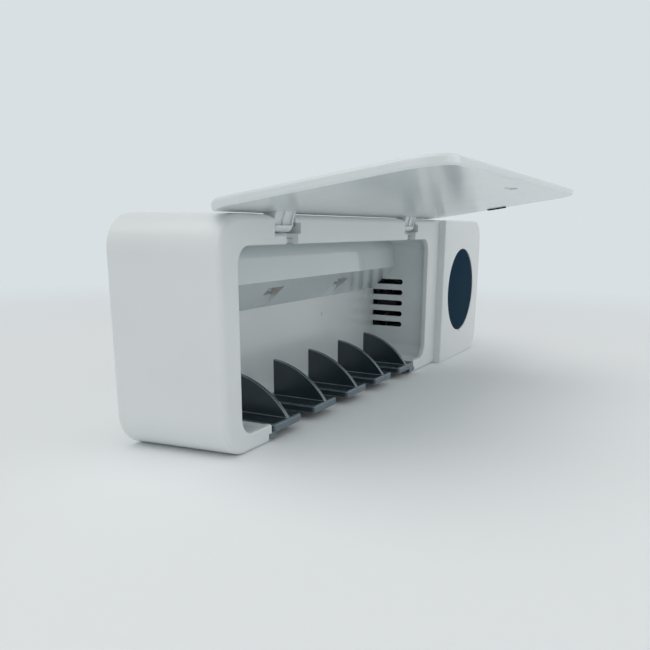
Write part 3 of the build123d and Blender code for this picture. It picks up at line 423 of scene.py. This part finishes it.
def floor_material():
    """Pale and matt near the object; further out, seen rays meet the backdrop's colour."""
    look = bpy.data.materials.new("floor_pale")
    look.use_nodes = True
    tree = look.node_tree
    shader = tree.nodes["Principled BSDF"]
    shader.inputs["Base Color"].default_value = FLOOR_COLOUR
    shader.inputs["Roughness"].default_value = FLOOR_ROUGHNESS
    shader.inputs["Specular IOR Level"].default_value = FLOOR_SPECULAR
    place = add(tree, "ShaderNodeNewGeometry")
    radius = add(tree, "ShaderNodeVectorMath", operation="LENGTH")
    tree.links.new(place.outputs["Position"], radius.inputs[0])
    fade = add(tree, "ShaderNodeMapRange", interpolation_type="SMOOTHSTEP")
    fade.inputs["From Min"].default_value = FADE_FROM
    fade.inputs["From Max"].default_value = FADE_TO
    tree.links.new(radius.outputs["Value"], fade.inputs["Value"])
    share = add(tree, "ShaderNodeMath", operation="MULTIPLY")
    tree.links.new(fade.outputs["Result"], share.inputs[0])
    tree.links.new(seen_rays(tree), share.inputs[1])
    glow = add(tree, "ShaderNodeEmission", Color=PALE, Strength=1.0)
    blend = tree.nodes.new("ShaderNodeMixShader")
    tree.links.new(share.outputs["Value"], blend.inputs["Fac"])
    tree.links.new(shader.outputs["BSDF"], blend.inputs[1])
    tree.links.new(glow.outputs["Emission"], blend.inputs[2])
    tree.links.new(blend.outputs["Shader"], tree.nodes["Material Output"].inputs["Surface"])
    return look


def lay_floor():
    """A flat square under the object."""
    mesh = bpy.data.meshes.new("floor")
    corners = [(-REACH, -REACH, BASE), (REACH, -REACH, BASE), (REACH, REACH, BASE), (-REACH, REACH, BASE)]
    mesh.from_pydata(corners, [], [(0, 1, 2, 3)])
    mesh.materials.append(floor_material())
    floor = bpy.data.objects.new("floor", mesh)
    scene.collection.objects.link(floor)


def light_dome():
    """A soft pale dome, which seen rays meet as the backdrop's colour."""
    world = bpy.data.worlds.new("studio")
    scene.world = world
    world.use_nodes = True
    tree = world.node_tree
    dome = tree.nodes["Background"]
    dome.inputs["Color"].default_value = DOME_COLOUR
    dome.inputs["Strength"].default_value = DOME_STRENGTH
    backdrop = add(tree, "ShaderNodeBackground", Color=PALE, Strength=1.0)
    mix = tree.nodes.new("ShaderNodeMixShader")
    tree.links.new(seen_rays(tree), mix.inputs["Fac"])
    tree.links.new(dome.outputs[0], mix.inputs[1])
    tree.links.new(backdrop.outputs[0], mix.inputs[2])
    tree.links.new(mix.outputs[0], tree.nodes["World Output"].inputs["Surface"])


def panel_light(name, place, size, power):
    """A soft rectangular lamp that faces the object."""
    data = bpy.data.lights.new(name, "AREA")
    data.shape = "RECTANGLE"
    data.size, data.size_y = size
    data.energy = power
    lamp = bpy.data.objects.new(name, data)
    lamp.location = place
    lamp.rotation_euler = (-Vector(place)).to_track_quat("-Z", "Y").to_euler()
    scene.collection.objects.link(lamp)


lay_floor()
light_dome()
for name, place, size, power in LAMPS:
    panel_light(name, place, size, power)


def place_camera():
    """The camera of the photograph."""
    turn = Vector(TURN)
    spin = Matrix.Rotation(turn.length, 3, turn.normalized())
    level_view = Matrix(((1, 0, 0), (0, 0, -1), (0, 1, 0)))
    right, down, ahead = level_view @ spin.transposed()
    axes = Matrix((right, -down, -ahead)).transposed()
    data = bpy.data.cameras.new("camera")
    data.sensor_width = SENSOR_WIDTH
    data.lens = SENSOR_WIDTH * FOCAL / FRAME_SIZE
    data.shift_x = (FRAME_SIZE / 2 - AXIS_X) / FRAME_SIZE
    data.shift_y = (AXIS_Y - FRAME_SIZE / 2) / FRAME_SIZE
    data.clip_start = NEAREST
    camera = bpy.data.objects.new("camera", data)
    camera.matrix_world = Matrix.Translation(at(*EYE)) @ axes.to_4x4()
    scene.collection.objects.link(camera)
    scene.camera = camera


place_camera()
scene.view_settings.view_transform = "Standard"
